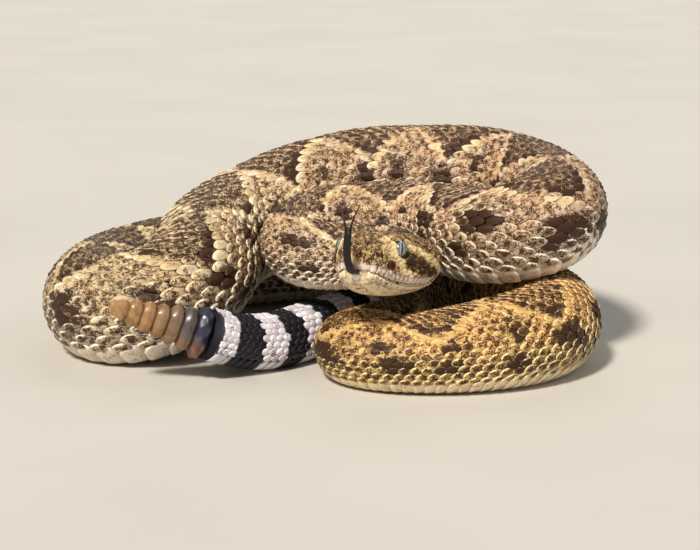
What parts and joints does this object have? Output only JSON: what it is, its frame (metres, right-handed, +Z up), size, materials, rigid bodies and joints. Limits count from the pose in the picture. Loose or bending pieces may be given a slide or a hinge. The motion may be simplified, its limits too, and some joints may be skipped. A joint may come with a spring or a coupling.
{
  "type": "western diamondback rattlesnake model",
  "caption": "Life-size western diamondback rattlesnake, still: coiled on the floor, head raised towards the viewer with the forked tongue out, rattle lifted at the left",
  "frame": {"origin": "middle of the footprint of the bounding box, on the floor under the belly", "axes": "+X is the longest extent, from the left lobe of the coil to the right loop as the picture shows them; the head faces -Y, towards the viewer; +Z is up"},
  "size_m": [0.2058, 0.195, 0.0773],
  "materials": {
    "body_skin": "keeled overlapping scales, dry and satin",
    "tail_skin": "keeled scales in pale and blue-black rings",
    "head_skin": "small granular scales, satin",
    "jaw_skin": "smooth pale scales, satin",
    "eyes": "wet gloss with an upright slit pupil",
    "tongue": "moist dark satin",
    "rattle": "dry horn, slightly translucent at the tip"
  },
  "bodies": {
    "root": {"neck": "body_skin", "forebody_left": "body_skin", "forebody_right": "body_skin", "midbody_right": "body_skin", "midbody_top": "body_skin", "midbody_left": "body_skin", "hindbody_left": "body_skin", "hindbody_back": "body_skin", "hindbody_right": "body_skin", "hindbody_turn": "body_skin", "hindbody_front": "body_skin", "hindbody_inner": "body_skin", "tail": "tail_skin", "head": "head_skin", "lower_jaw": "jaw_skin", "eye_left": "eyes", "eye_right": "eyes", "tongue": "tongue", "rattle_segment_1": "rattle", "rattle_segment_2": "rattle", "rattle_segment_3": "rattle", "rattle_segment_4": "rattle", "rattle_segment_5": "rattle", "rattle_segment_6": "rattle", "rattle_button": "rattle"}
  },
  "joints": []
}
